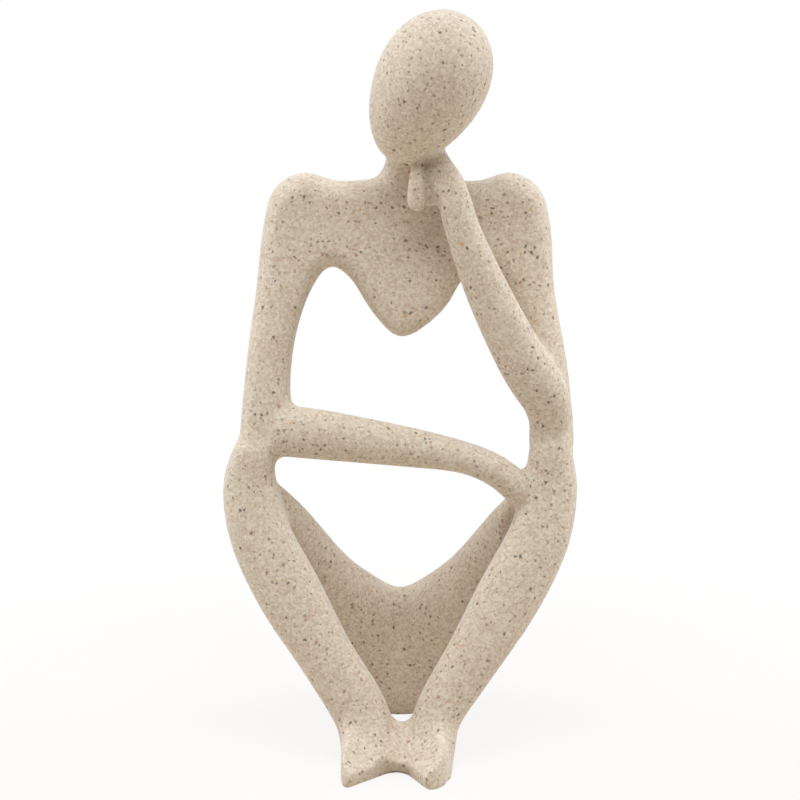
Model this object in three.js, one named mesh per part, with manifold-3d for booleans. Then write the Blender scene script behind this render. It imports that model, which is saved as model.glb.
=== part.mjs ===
// Resting figurine: an abstract seated figure of sand-filled resin, chin on one hand.
// It is cast in seven sections, which are bonded to each other over steel dowels.
// Millimetres, +Z up. The figure faces -Y, so its own right side lies at -X.
// The origin is on the table, under the middle of the figure.

import * as THREE from "three";
import { TessellateModifier } from "three/addons/modifiers/TessellateModifier.js";
import { mergeVertices } from "three/addons/utils/BufferGeometryUtils.js";
import Module from "manifold-3d";

const wasm = await Module();
wasm.setup();

// Driving dimensions: bonded joints.
const BOND_GAP = 0.3; // film of adhesive between two castings
const DOWEL_DIAMETER = 1.6;
const DOWEL_LENGTH = 8;
const DOWEL_CLEARANCE = 0.2; // round a dowel and past its ends, filled with adhesive

// Driving dimensions: head, an egg that leans towards the raised hand.
const HEAD_LENGTH = 28;
const HEAD_WIDTH = 19;
const HEAD_TAPER = 0.147; // the crown is this share wider than the middle, and the chin as much narrower
const HEAD_LEAN_DEGREES = 27; // sideways
const HEAD_BOW_DEGREES = 11; // crown forwards
const HEAD_ASIDE = 4.63;
const HEAD_FORWARD = 8;
const HEAD_ABOVE_SHOULDERS = 15.1; // to the head's centre

// Driving dimensions: chest, shoulders, neck and upper arms, one plate with rounded edges.
const TORSO_ASIDE = 1.2;
const TORSO_EDGE = 3.1; // how far in from the outline the edges are rounded
const NECK_WIDTH = 7.4;
const NECK_DEPTH = 8;
const NECK_FORWARD = 1.2; // of the neck's middle where it enters the head
const NECK_ROOT_DROP = 1.5; // the dip between neck and shoulder, below the shoulder's top
const SHOULDER_SPAN = 50;
const SHOULDER_ABOVE_ELBOW = 46.3;
const SHOULDER_BACK = 2.6;
const CHEST_DEPTH = 11;
const CHEST_DROP = 28.4; // from the shoulder's top to the chest's lower tip
const CHEST_TIP_ASIDE = -0.9; // from the torso's middle line
const ARMPIT_DROP = 16.2;
const ARMPIT_SPAN = 26.8; // between the tops of the two arches
const TIP_SPREAD = 0.46; // the chest is this share of the armpit span wide just above its tip
const TIP_RISE = 0.37; // and that is this share of the way up from the tip to the armpits
const RIGHT_UPPER_ARM_WIDTH = 8.2;
const LEFT_UPPER_ARM_WIDTH = 7;
const RIGHT_UPPER_ARM_FLARE = 0.36; // how much of the way out to the elbow the arm has come by its middle
const LEFT_UPPER_ARM_FLARE = 0.2;
const UPPER_ARM_DEPTH = 9.4;
const ELBOW_SPAN = 57.6;
const ELBOW_FORWARD = 5.4;
const ELBOW_ABOVE_KNEE = 8; // height of the bond between upper arm and knee

// Driving dimensions: forearms and hands.
const RESTING_FOREARM_ROOT = 9; // height of the section at the elbow
const RESTING_FOREARM_WRIST = 5;
const RAISED_FOREARM_ROOT = 9;
const RAISED_FOREARM_WRIST = 5.8;
const HAND_WIDTH = 7.2;
const HAND_FORWARD = 10; // of the raised hand's finger, from the figure's middle
const FINGER_DIAMETER = 3.4;
const FINGER_LENGTH = 6.4;

// Driving dimensions: lower legs and feet.
const KNEE_SPAN = 62; // over the outsides of both knees
const KNEE_HEIGHT = 47.5;
const KNEE_FORWARD = 6;
const KNEE_WIDTH = 9.6;
const KNEE_DEPTH = 11;
const SHIN_WIDTH = 11.4;
const SHIN_DEPTH = 10.6;
const ANKLE_DEPTH = 8.6;
const ANKLE_HEIGHT = 9.4;
const INSTEP_FORWARD = 6.2; // from the ankle to where the foot levels out
const ANKLE_FORWARD = 14;
const FOOT_LENGTH = 19;
const FOOT_HEIGHT = 8;
const TOE_FORWARD = 28.8;
const TOE_NOTCH = 11.3; // how far behind the toes the two feet part
const TOE_HEIGHT = 2.7; // of the upright faces at the toes
const TOE_SLOPE_DEGREES = 45; // of the foot's top, down to those faces
const TOE_UNDERCUT_DEGREES = 12;
const RIGHT_ANKLE_WIDTH = 9.8;
const RIGHT_ANKLE_ASIDE = 2.1; // from the middle plane to the ankle's inner side
const RIGHT_FOOT_WIDTH = 10.8;
const RIGHT_FOOT_ASIDE = 4.7; // from the middle plane to the foot's middle line
const RIGHT_TOE_ASIDE = 9.9;
const LEFT_ANKLE_WIDTH = 8.6;
const LEFT_ANKLE_ASIDE = 2.6;
const LEFT_FOOT_WIDTH = 9.2;
const LEFT_FOOT_ASIDE = 3.8;
const LEFT_TOE_ASIDE = 4.8;

// Driving dimensions: seat and thighs, one swept vee.
const SEAT_BACK = 28.8;
const SEAT_DEPTH = 18.6;
const SEAT_HEIGHT = 22.9;
const SEAT_SQUARENESS = 1.7; // of the seat's section, where 2 is an ellipse
const SEAT_SOLE = 4; // how much of the seat's round underside is cut off flat
const THIGH_HEIGHT = 18.6; // measured upright, as the thighs slope
const THIGH_DEPTH = 12;
const KNEE_BOND_FORWARD = 2.5; // the upright bond between thigh and knee

// How finely the round forms are divided.
const SIDES = 20;
const RINGS_PER_STATION = 3;
const EGG_SIDES = 32;
const EGG_RINGS = 24;
const OUTLINE_STEPS = 3;
const EDGE_SEGMENTS = 4;
const PLATE_STEP = 6; // longest edge in the torso's faces
const DOWEL_SIDES = 12;

// Places that several pieces share.
const RIGHT = -1;
const LEFT = 1;
const ELBOW_HEIGHT = KNEE_HEIGHT + ELBOW_ABOVE_KNEE;
const SHOULDER_HEIGHT = ELBOW_HEIGHT + SHOULDER_ABOVE_ELBOW;
const kneeX = (KNEE_SPAN - KNEE_WIDTH) / 2;
const armFlare = (side) => (side === RIGHT ? RIGHT_UPPER_ARM_FLARE : LEFT_UPPER_ARM_FLARE);
const armWidth = (side) => (side === RIGHT ? RIGHT_UPPER_ARM_WIDTH : LEFT_UPPER_ARM_WIDTH);
const elbowX = (side) => TORSO_ASIDE + (side * (ELBOW_SPAN - armWidth(side))) / 2;
const HEAD_CENTRE = new THREE.Vector3(HEAD_ASIDE, -HEAD_FORWARD, SHOULDER_HEIGHT + HEAD_ABOVE_SHOULDERS);
const HEAD_TURN = new THREE.Euler(
  THREE.MathUtils.degToRad(90 + HEAD_BOW_DEGREES),
  THREE.MathUtils.degToRad(HEAD_LEAN_DEGREES),
  0,
  "YXZ",
);
const X = new THREE.Vector3(1, 0, 0);
const Y = new THREE.Vector3(0, 1, 0);
const Z = new THREE.Vector3(0, 0, 1);
const FAR = 500; // size of the blocks that stand for half of space

// A closed geometry as a solid that can be cut and joined.
function solidOf(geometry) {
  const bare = geometry.clone();
  bare.deleteAttribute("normal");
  bare.deleteAttribute("uv");
  const merged = mergeVertices(bare, 1e-4);
  return new wasm.Manifold(
    new wasm.Mesh({
      numProp: 3,
      vertProperties: new Float32Array(merged.attributes.position.array),
      triVerts: new Uint32Array(merged.index.array),
    }),
  );
}

function geometryOf(solid) {
  const mesh = solid.getMesh();
  const geometry = new THREE.BufferGeometry();
  geometry.setAttribute("position", new THREE.BufferAttribute(mesh.vertProperties, 3));
  geometry.setIndex(new THREE.BufferAttribute(mesh.triVerts, 1));
  geometry.computeVertexNormals();
  return geometry;
}

// Everything on the far side of a plane: what lies along the normal from the point.
function halfSpace(point, normal) {
  const block = new THREE.BoxGeometry(FAR, FAR, FAR).translate(0, 0, FAR / 2);
  block.applyQuaternion(new THREE.Quaternion().setFromUnitVectors(Z, normal.clone().normalize()));
  return solidOf(block.translate(point.x, point.y, point.z));
}

// What is left of a solid behind a plane, short of it by a gap.
function cutAt(solid, point, normal, gap = 0) {
  const back = normal.clone().normalize().multiplyScalar(-gap);
  return solid.subtract(halfSpace(point.clone().add(back), normal));
}

// A closed skin over rings of equal length, with a fan of faces over each end.
function skin(rings) {
  const sides = rings[0].length;
  const points = rings.flat();
  const faces = [];
  for (let i = 0; i + 1 < rings.length; i++) {
    for (let j = 0; j < sides; j++) {
      const a = i * sides + j;
      const b = i * sides + ((j + 1) % sides);
      faces.push(a, b, a + sides, b, b + sides, a + sides);
    }
  }
  const fan = (ring, first, flip) => {
    const middle = points.length;
    points.push(ring.reduce((sum, p) => sum.add(p), new THREE.Vector3()).divideScalar(sides));
    for (let j = 0; j < sides; j++) {
      const a = first + j;
      const b = first + ((j + 1) % sides);
      faces.push(...(flip ? [middle, b, a] : [middle, a, b]));
    }
  };
  fan(rings[0], 0, true);
  fan(rings[rings.length - 1], (rings.length - 1) * sides, false);
  const geometry = new THREE.BufferGeometry().setFromPoints(points);
  geometry.setIndex(faces);
  return geometry;
}

// A limb: a skin over oval rings along a smooth path. Each station gives the path's point, the half
// width and half depth there, and how square the oval is, where that differs from the limb's own:
// 2 makes a true oval, and more makes it boxier. The width lies along the across direction, square
// to the path. In an upright limb, the rings keep to planes that hold the across direction.
function limb(stations, { across, square, upright = false, grow = 0 }) {
  const smooth = (points) => new THREE.CatmullRomCurve3(points, false, "catmullrom");
  const path = smooth(stations.map(([x, y, z]) => new THREE.Vector3(x, y, z)));
  const sections = smooth(
    stations.map(([, , , width, depth, own]) => new THREE.Vector3(width + grow, depth + grow, own ?? square)),
  );
  const steps = (stations.length - 1) * RINGS_PER_STATION;
  const rings = [];
  for (let i = 0; i <= steps; i++) {
    const centre = path.getPoint(i / steps);
    const section = sections.getPoint(i / steps);
    const along = path.getTangent(i / steps);
    if (upright) {
      along.projectOnPlane(across).normalize();
    }
    const wide = across.clone().projectOnPlane(along).normalize();
    const deep = along.clone().cross(wide);
    const bulge = (value) => Math.sign(value) * Math.abs(value) ** (2 / section.z);
    const ring = [];
    for (let j = 0; j < SIDES; j++) {
      const angle = (2 * Math.PI * j) / SIDES;
      const point = centre.clone();
      point.addScaledVector(wide, section.x * bulge(Math.cos(angle)));
      point.addScaledVector(deep, section.y * bulge(Math.sin(angle)));
      ring.push(point);
    }
    rings.push(ring);
  }
  return solidOf(skin(rings));
}

// Head: an egg, turned about its long axis and then leant and bowed into place.
function headForm(grow = 0) {
  const profile = [];
  for (let i = 0; i <= EGG_RINGS; i++) {
    const angle = (Math.PI * i) / EGG_RINGS - Math.PI / 2;
    const radius = (HEAD_WIDTH / 2) * (1 + HEAD_TAPER * Math.sin(angle)) + grow;
    const radial = i % EGG_RINGS === 0 ? 0 : radius * Math.cos(angle);
    profile.push(new THREE.Vector2(radial, (HEAD_LENGTH / 2 + grow) * Math.sin(angle)));
  }
  const egg = new THREE.LatheGeometry(profile, EGG_SIDES);
  egg.applyQuaternion(new THREE.Quaternion().setFromEuler(HEAD_TURN));
  return solidOf(egg.translate(...HEAD_CENTRE));
}

// One side of the torso's outline, as places along X and heights: from under the neck round the
// shoulder, along the upper arm, and back up to the armpit's arch and down towards the chest's tip.
function torsoSideOutline(side) {
  const neck = NECK_WIDTH / 2;
  const shoulder = SHOULDER_SPAN / 2;
  const armpit = ARMPIT_SPAN / 2;
  const outer = ELBOW_SPAN / 2;
  const width = armWidth(side);
  const armEnd = ELBOW_HEIGHT - 2 * TORSO_EDGE;
  const armpitHeight = SHOULDER_HEIGHT - ARMPIT_DROP;
  const dip = SHOULDER_HEIGHT - NECK_ROOT_DROP;
  const between = THREE.MathUtils.lerp;
  const armMiddle = between(SHOULDER_HEIGHT, ELBOW_HEIGHT, 0.44);
  const armLow = between(SHOULDER_HEIGHT, ELBOW_HEIGHT, 0.77);
  const outerMiddle = between(shoulder, outer, armFlare(side));
  const outerLow = outer - 0.5;
  const outerAt = (height) => THREE.MathUtils.mapLinear(height, armMiddle, armLow, outerMiddle, outerLow);
  const slope = Math.atan2(outerLow - outerMiddle, armMiddle - armLow);
  const inside = (share, wider) => {
    const height = between(armpitHeight, ELBOW_HEIGHT, share);
    return [outerAt(height) - (width + wider) / Math.cos(slope), height];
  };
  const points = [
    [neck + 2.8, dip + 0.2],
    [between(neck, shoulder, 0.42), dip],
    [between(neck, shoulder, 0.68), SHOULDER_HEIGHT],
    [shoulder - 1.7, SHOULDER_HEIGHT - 3],
    [shoulder + 0.2, SHOULDER_HEIGHT - 10],
    [outerMiddle, armMiddle],
    [outerLow, armLow],
    [outer, armEnd],
    [outer - width, armEnd],
    inside(0.65, -0.3),
    inside(0.36, -0.2),
    inside(0.13, 1.4),
    [armpit, armpitHeight],
    [armpit * 0.72, armpitHeight - 0.19 * (CHEST_DROP - ARMPIT_DROP)],
    [armpit * TIP_SPREAD, armpitHeight - (1 - TIP_RISE) * (CHEST_DROP - ARMPIT_DROP)],
  ];
  return points.map(([x, z]) => new THREE.Vector2(TORSO_ASIDE + side * x, z));
}

// How far back the torso's middle lies at each height, and half its depth there.
const torsoBend = new THREE.CubicInterpolant(
  [ELBOW_HEIGHT, SHOULDER_HEIGHT - 30, SHOULDER_HEIGHT - 9, SHOULDER_HEIGHT],
  [
    [-ELBOW_FORWARD, UPPER_ARM_DEPTH / 2],
    [SHOULDER_BACK - 4.8, UPPER_ARM_DEPTH / 2],
    [SHOULDER_BACK, CHEST_DEPTH / 2],
    [SHOULDER_BACK, CHEST_DEPTH / 2 - 0.5],
  ].flat(),
  2,
);

// Neck: it flares into the shoulders and runs forward into the head.
function neckForm(grow) {
  const root = SHOULDER_HEIGHT - NECK_ROOT_DROP;
  const middle = TORSO_ASIDE;
  const wide = NECK_WIDTH / 2;
  const deep = NECK_DEPTH / 2;
  const stations = [
    [middle, SHOULDER_BACK, root - 6, wide + 4, deep],
    [middle, SHOULDER_BACK - 0.4, root - 1.5, wide + 3, deep + 0.9],
    [middle, SHOULDER_BACK - 1.4, root + 1.2, wide + 0.9, deep + 0.6],
    [middle, SHOULDER_BACK - 2.6, root + 4, wide, deep - 0.3],
    [middle + 0.3, -NECK_FORWARD, root + 8.5, wide, deep - 0.3],
    [middle + 0.8, -NECK_FORWARD - 1.6, root + 11, wide - 0.6, deep - 1.2],
  ];
  return limb(stations, { across: X, square: 2.3, grow });
}

// Torso: the outline as a plate with rounded edges, bent to lean over the knees, and the neck.
function torsoForm(grow = 0) {
  const nape = new THREE.Vector2(TORSO_ASIDE, SHOULDER_HEIGHT - NECK_ROOT_DROP + 0.4);
  const tip = new THREE.Vector2(TORSO_ASIDE + CHEST_TIP_ASIDE, SHOULDER_HEIGHT - CHEST_DROP);
  const outline = [nape, ...torsoSideOutline(RIGHT), tip, ...torsoSideOutline(LEFT).reverse(), nape];
  const curve = new THREE.SplineCurve(outline);
  const shape = new THREE.Shape(curve.getPoints((outline.length - 1) * OUTLINE_STEPS));
  const edgeShare = 0.85; // share of half the depth that the rounded edge takes
  const tipRadius = ((TIP_SPREAD * ARMPIT_SPAN) / 2) ** 2 / (2 * TIP_RISE * (CHEST_DROP - ARMPIT_DROP));
  const edge = Math.min(TORSO_EDGE, 0.45 * armWidth(RIGHT), 0.45 * armWidth(LEFT), 0.8 * tipRadius);
  const plate = new THREE.ExtrudeGeometry(shape, {
    depth: 2 * (1 - edgeShare),
    bevelThickness: edgeShare,
    bevelSize: edge,
    bevelOffset: grow - edge,
    bevelSegments: EDGE_SEGMENTS,
  });
  plate.translate(0, 0, edgeShare - 1).rotateX(Math.PI / 2);
  const fine = new TessellateModifier(PLATE_STEP, 20).modify(plate);
  const place = fine.attributes.position;
  for (let i = 0; i < place.count; i++) {
    const [middle, halfDepth] = torsoBend.evaluate(place.getZ(i));
    place.setY(i, middle + place.getY(i) * (halfDepth + grow));
  }
  const elbowBond = new THREE.Vector3(0, 0, ELBOW_HEIGHT);
  const joined = solidOf(fine).add(neckForm(grow));
  return cutAt(joined, elbowBond, Z.clone().negate(), BOND_GAP / 2 - grow);
}

// Foot: a block with an oval outline. Its top slopes down to an upright face at the toes, which lies
// slanting, so that the two feet part at a notch.
function footForm(side, grow) {
  const halfWidth = (side === RIGHT ? RIGHT_FOOT_WIDTH : LEFT_FOOT_WIDTH) / 2 + grow;
  const halfLength = FOOT_LENGTH / 2 + grow;
  const aside = side * (side === RIGHT ? RIGHT_FOOT_ASIDE : LEFT_FOOT_ASIDE);
  const along = FOOT_LENGTH / 2 - TOE_FORWARD;
  const square = side === RIGHT ? 4.5 : 2.6;
  const stations = [
    [aside, along, FOOT_HEIGHT + grow, halfWidth - 2, halfLength - 2],
    [aside, along, 0.6 * FOOT_HEIGHT, halfWidth, halfLength],
    [aside, along, -FOOT_HEIGHT, halfWidth, halfLength],
  ];
  const toeTop = toes(side).setZ(TOE_HEIGHT);
  return cutAt(limb(stations, { across: X, square }), toeTop, toeFacing(side, 90 - TOE_SLOPE_DEGREES), -grow);
}

// The foremost point of a foot, and the way in which its toes face, tilted up by some degrees.
function toes(side) {
  return new THREE.Vector3(side * (side === RIGHT ? RIGHT_TOE_ASIDE : LEFT_TOE_ASIDE), -TOE_FORWARD, 0);
}
function toeFacing(side, degrees) {
  const facing = new THREE.Vector3(-side * TOE_NOTCH, -Math.abs(toes(side).x), 0).normalize();
  return facing.setZ(Math.tan(THREE.MathUtils.degToRad(degrees)));
}

// Lower leg: knee, shin and foot. The sole is cut flat, and behind the notch the two feet meet at
// the middle plane.
function lowerLegForm(side, grow = 0) {
  const ankleHalf = (side === RIGHT ? RIGHT_ANKLE_WIDTH : LEFT_ANKLE_WIDTH) / 2;
  const ankleX = (side === RIGHT ? RIGHT_ANKLE_ASIDE : LEFT_ANKLE_ASIDE) + ankleHalf;
  const instepY = (share) => -ANKLE_FORWARD - share * INSTEP_FORWARD;
  const instepHalf = ANKLE_DEPTH / 2 - 0.3;
  const drop = KNEE_HEIGHT - ANKLE_HEIGHT;
  const elbow = Math.abs(elbowX(side));
  const between = THREE.MathUtils.lerp;
  const inwards = (share) => between(kneeX, ankleX, share);
  const stations = [
    [elbow, -ELBOW_FORWARD, ELBOW_HEIGHT + 1.5, armWidth(side) / 2, UPPER_ARM_DEPTH / 2],
    [between(elbow, kneeX, 0.75), -KNEE_FORWARD, KNEE_HEIGHT + 0.69 * ELBOW_ABOVE_KNEE, 3.9, 5],
    [kneeX, -KNEE_FORWARD, KNEE_HEIGHT, KNEE_WIDTH / 2, KNEE_DEPTH / 2],
    [inwards(0.1), -KNEE_FORWARD - 2, KNEE_HEIGHT - 0.22 * drop, 5.4, KNEE_DEPTH / 2],
    [inwards(0.37), -KNEE_FORWARD - 4.3, KNEE_HEIGHT - 0.48 * drop, SHIN_WIDTH / 2, SHIN_DEPTH / 2],
    [inwards(0.69), -KNEE_FORWARD - 6.3, KNEE_HEIGHT - 0.75 * drop, 4.9, SHIN_DEPTH / 2 - 0.5],
    [ankleX, -ANKLE_FORWARD, ANKLE_HEIGHT, ankleHalf, ANKLE_DEPTH / 2],
    [ankleX - 1.2, instepY(0.35), 0.46 * ANKLE_HEIGHT, ankleHalf - 0.3, ANKLE_DEPTH / 2],
    [ankleX - 1.8, instepY(1), 0, ankleHalf - 0.4, instepHalf],
    [ankleX - 1.8, instepY(1.6), -0.4 * ANKLE_HEIGHT, ankleHalf - 0.4, instepHalf],
  ].map(([x, ...rest]) => [side * x, ...rest]);
  const middle = new THREE.Vector3(0, 0, 0);
  let leg = limb(stations, { across: X, square: 2.7, grow }).add(footForm(side, grow));
  leg = cutAt(leg, new THREE.Vector3(0, 0, ELBOW_HEIGHT), Z, BOND_GAP / 2 - grow);
  leg = cutAt(leg, new THREE.Vector3(0, -KNEE_BOND_FORWARD, 0), Y, BOND_GAP / 2 - grow);
  leg = cutAt(leg, middle, new THREE.Vector3(-side, 0, 0), BOND_GAP / 2);
  leg = cutAt(leg, toes(side), toeFacing(side, -TOE_UNDERCUT_DEGREES));
  return cutAt(leg, middle, Z.clone().negate());
}

// Seat and thighs: one sweep from knee to knee, highest at the seat, with its underside cut flat.
function thighForm() {
  const seatHalf = (SEAT_HEIGHT + SEAT_SOLE) / 2;
  const thighHalf = THIGH_HEIGHT / 2;
  const seatY = SEAT_BACK - SEAT_DEPTH / 2;
  const kneeTop = KNEE_HEIGHT + 4.8;
  const between = THREE.MathUtils.lerp;
  const stations = (side) =>
    [
      [0.22, 0.95, 0.11, seatHalf - 0.2, SEAT_DEPTH / 2 - 0.4],
      [0.42, 0.78, 0.275, thighHalf + 2.9, THIGH_DEPTH / 2 + 1.4],
      [0.7, 0.5, 0.625, thighHalf, THIGH_DEPTH / 2],
      [0.92, 0.16, 0.88, thighHalf - 2.5, KNEE_WIDTH / 2 + 0.4],
      [1.02, -0.08, 1, thighHalf - 3.8, KNEE_WIDTH / 2],
    ].map(([out, back, up, halfHeight, halfDepth]) => [
      side * out * kneeX,
      between(-KNEE_FORWARD, seatY, back),
      between(SEAT_HEIGHT, kneeTop, up) - halfHeight,
      halfHeight,
      halfDepth,
    ]);
  const seat = [0, seatY, SEAT_HEIGHT - seatHalf, seatHalf, SEAT_DEPTH / 2, SEAT_SQUARENESS];
  const run = [...stations(RIGHT).reverse(), seat, ...stations(LEFT)];
  const sweep = limb(run, { across: Z, square: 2.2, upright: true });
  const bonded = cutAt(sweep, new THREE.Vector3(0, -KNEE_BOND_FORWARD, 0), Y.clone().negate(), BOND_GAP / 2);
  return cutAt(bonded, new THREE.Vector3(0, 0, 0), Z.clone().negate());
}

// Resting forearm: from the right elbow across to the left knee, where its hand drops.
const restingStations = [
  [elbowX(RIGHT), -ELBOW_FORWARD - 0.2, ELBOW_HEIGHT + 1.7, RESTING_FOREARM_ROOT / 2 - 0.6, 3.2],
  [elbowX(RIGHT) + 6.5, -ELBOW_FORWARD - 1.4, ELBOW_HEIGHT + 1.9, RESTING_FOREARM_ROOT / 2, 4.1],
  [0, -ELBOW_FORWARD - 3.2, ELBOW_HEIGHT - 0.1, 3.6, 3.6],
  [elbowX(LEFT) - 16, -ELBOW_FORWARD - 4.2, ELBOW_HEIGHT - 1.8, RESTING_FOREARM_WRIST / 2 + 0.3, 3.2],
  [elbowX(LEFT) - 10, -KNEE_FORWARD - 3.8, ELBOW_HEIGHT - 4.2, RESTING_FOREARM_WRIST / 2 + 0.3, 3.1],
  [kneeX - 5.6, -KNEE_FORWARD - 2.6, KNEE_HEIGHT + 0.2, 2.8, 2.9],
  [kneeX - 3.6, -KNEE_FORWARD - 1.4, KNEE_HEIGHT - 2.2, 2.3, 2.4],
];

// Raised forearm: from the left elbow up to the chin, with the palm and one drop-shaped finger under it.
const CHIN = new THREE.Vector3(0, -HEAD_LENGTH / 2, 0).applyEuler(HEAD_TURN).add(HEAD_CENTRE);
const raisedStations = [
  [elbowX(LEFT), -ELBOW_FORWARD, ELBOW_HEIGHT + 1, 2.9, 3.4],
  [elbowX(LEFT) - 0.3, -ELBOW_FORWARD - 1.6, ELBOW_HEIGHT + 6, RAISED_FOREARM_ROOT / 2 - 0.8, 3.9],
  [elbowX(LEFT) - 3, -ELBOW_FORWARD - 3.4, ELBOW_HEIGHT + 11, RAISED_FOREARM_ROOT / 2, 4],
  [elbowX(LEFT) - 6.3, -ELBOW_FORWARD - 4.4, ELBOW_HEIGHT + 16.4, RAISED_FOREARM_ROOT / 2 - 0.2, 3.8],
  [CHIN.x + 16.6, -HAND_FORWARD - 0.1, CHIN.z - 22.3, 3.8, 3.6],
  [CHIN.x + 12.5, -HAND_FORWARD - 0.2, CHIN.z - 12.3, 3.1, 3.2],
  [CHIN.x + 11, -HAND_FORWARD + 0.2, CHIN.z - 7.3, RAISED_FOREARM_WRIST / 2, 3],
  [CHIN.x + 9.6, -HAND_FORWARD + 1.2, CHIN.z - 4, HAND_WIDTH / 2 - 0.6, 2.7],
  [CHIN.x + 1.17 * HAND_WIDTH, -0.7 * HAND_FORWARD, CHIN.z - 1.3, HAND_WIDTH / 2 - 1.2, 2.2],
  [CHIN.x + 1.1 * HAND_WIDTH, -0.48 * HAND_FORWARD, CHIN.z + 1.3, 1.4, 1.4],
];
const palmStations = [
  [CHIN.x + 5.8, -HAND_FORWARD + 4, CHIN.z - 0.8, 1, 1],
  [CHIN.x + 6.4, -HAND_FORWARD + 3.2, CHIN.z - 2.7, 2, 1.9],
  [CHIN.x + 7, -HAND_FORWARD + 2.8, CHIN.z - 0.9 * FINGER_LENGTH, 2.1, 1.8],
  [CHIN.x + 7.4, -HAND_FORWARD + 2.6, CHIN.z - 1.2 * FINGER_LENGTH, 1.1, 1],
];
const fingerStations = [
  [CHIN.x + 4.8, -HAND_FORWARD + 3, CHIN.z - 0.5, 0.3],
  [CHIN.x + 4.3, -HAND_FORWARD + 1.1, CHIN.z - 1.7, 0.3],
  [CHIN.x + 4.3, -HAND_FORWARD + 0.2, CHIN.z - 0.6 * FINGER_LENGTH, 0.4],
  [CHIN.x + 4.4, -HAND_FORWARD - 0.1, CHIN.z - FINGER_LENGTH, 0.5],
  [CHIN.x + 4.5, -HAND_FORWARD, CHIN.z - 1.2 * FINGER_LENGTH, 0.42],
  [CHIN.x + 4.5, -HAND_FORWARD + 0.1, CHIN.z - 1.32 * FINGER_LENGTH, 0.18],
].map(([x, y, z, share]) => [x, y, z, share * FINGER_DIAMETER, share * FINGER_DIAMETER]);

// Each casting is cut to leave an adhesive gap round the castings that it meets.
const headRoom = headForm(BOND_GAP);
const torsoRoom = torsoForm(BOND_GAP).subtract(headRoom);
const castings = {
  head: headForm(),
  torso: torsoForm().subtract(headRoom),
  right_lower_leg: lowerLegForm(RIGHT),
  left_lower_leg: lowerLegForm(LEFT),
  seat_and_thighs: thighForm(),
  resting_forearm: limb(restingStations, { across: Z, square: 2.2 })
    .subtract(torsoRoom)
    .subtract(lowerLegForm(RIGHT, BOND_GAP))
    .subtract(lowerLegForm(LEFT, BOND_GAP)),
  raised_forearm: limb(raisedStations, { across: X, square: 2.2 })
    .add(limb(palmStations, { across: X, square: 2.2 }))
    .add(limb(fingerStations, { across: X, square: 2 }))
    .subtract(headRoom)
    .subtract(torsoRoom)
    .subtract(lowerLegForm(LEFT, BOND_GAP)),
};

// Dowels: each is centred on the bond between two castings and lies half in either.
const at = (x, y, z) => new THREE.Vector3(x, y, z);
const dowels = [
  {
    name: "neck_dowel",
    joins: ["head", "torso"],
    centre: at(TORSO_ASIDE + 0.3, -NECK_FORWARD - 0.3, CHIN.z + 2.5),
    along: at(0.2, -0.5, 1),
  },
  {
    name: "right_elbow_dowel",
    joins: ["torso", "right_lower_leg"],
    centre: at(elbowX(RIGHT), -ELBOW_FORWARD + 1.8, ELBOW_HEIGHT),
    along: Z,
  },
  {
    name: "left_elbow_dowel",
    joins: ["torso", "left_lower_leg"],
    centre: at(elbowX(LEFT), -ELBOW_FORWARD + 1.8, ELBOW_HEIGHT),
    along: Z,
  },
  {
    name: "right_knee_dowel",
    joins: ["right_lower_leg", "seat_and_thighs"],
    centre: at(-kneeX + 1.2, -KNEE_BOND_FORWARD, KNEE_HEIGHT - 3),
    along: at(0.3, 1, -0.9),
  },
  {
    name: "left_knee_dowel",
    joins: ["left_lower_leg", "seat_and_thighs"],
    centre: at(kneeX - 1.2, -KNEE_BOND_FORWARD, KNEE_HEIGHT - 3),
    along: at(-0.3, 1, -0.9),
  },
  {
    name: "resting_elbow_dowel",
    joins: ["torso", "resting_forearm"],
    centre: at(elbowX(RIGHT) + armWidth(RIGHT) / 2 - 0.4, -ELBOW_FORWARD - 1.5, ELBOW_HEIGHT + 2.6),
    along: X,
  },
  {
    name: "resting_hand_dowel",
    joins: ["left_lower_leg", "resting_forearm"],
    centre: at(kneeX - 4.6, -KNEE_FORWARD - 2.2, KNEE_HEIGHT - 0.8),
    along: at(0.55, 0.3, -0.78),
  },
  {
    name: "raised_elbow_dowel",
    joins: ["torso", "raised_forearm"],
    centre: at(elbowX(LEFT) - 1.4, -ELBOW_FORWARD - 3.6, ELBOW_HEIGHT + 10.4),
    along: at(-0.3, -0.6, 0.74),
  },
  {
    name: "foot_dowel",
    joins: ["right_lower_leg", "left_lower_leg"],
    centre: at(0, 0.8 * FOOT_LENGTH - TOE_FORWARD - 1.2, 0.34 * ANKLE_HEIGHT),
    along: X,
  },
];

// A dowel lies along its own Y axis until it is turned into place.
const dowelTurn = (along) => new THREE.Quaternion().setFromUnitVectors(Y, along.clone().normalize());

function boreOf({ centre, along }) {
  const radius = DOWEL_DIAMETER / 2 + DOWEL_CLEARANCE;
  const bore = new THREE.CylinderGeometry(radius, radius, DOWEL_LENGTH + 2 * DOWEL_CLEARANCE, DOWEL_SIDES);
  return solidOf(bore.applyQuaternion(dowelTurn(along)).translate(...centre));
}

for (const dowel of dowels) {
  for (const name of dowel.joins) {
    castings[name] = castings[name].subtract(boreOf(dowel));
  }
}

// Materials: matte sand-filled resin, and bright drawn steel.
const resin = new THREE.MeshStandardMaterial({ color: 0xcdbfa6, roughness: 0.85, metalness: 0 });
const steel = new THREE.MeshStandardMaterial({ color: 0xb4b6b8, roughness: 0.35, metalness: 1 });

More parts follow.
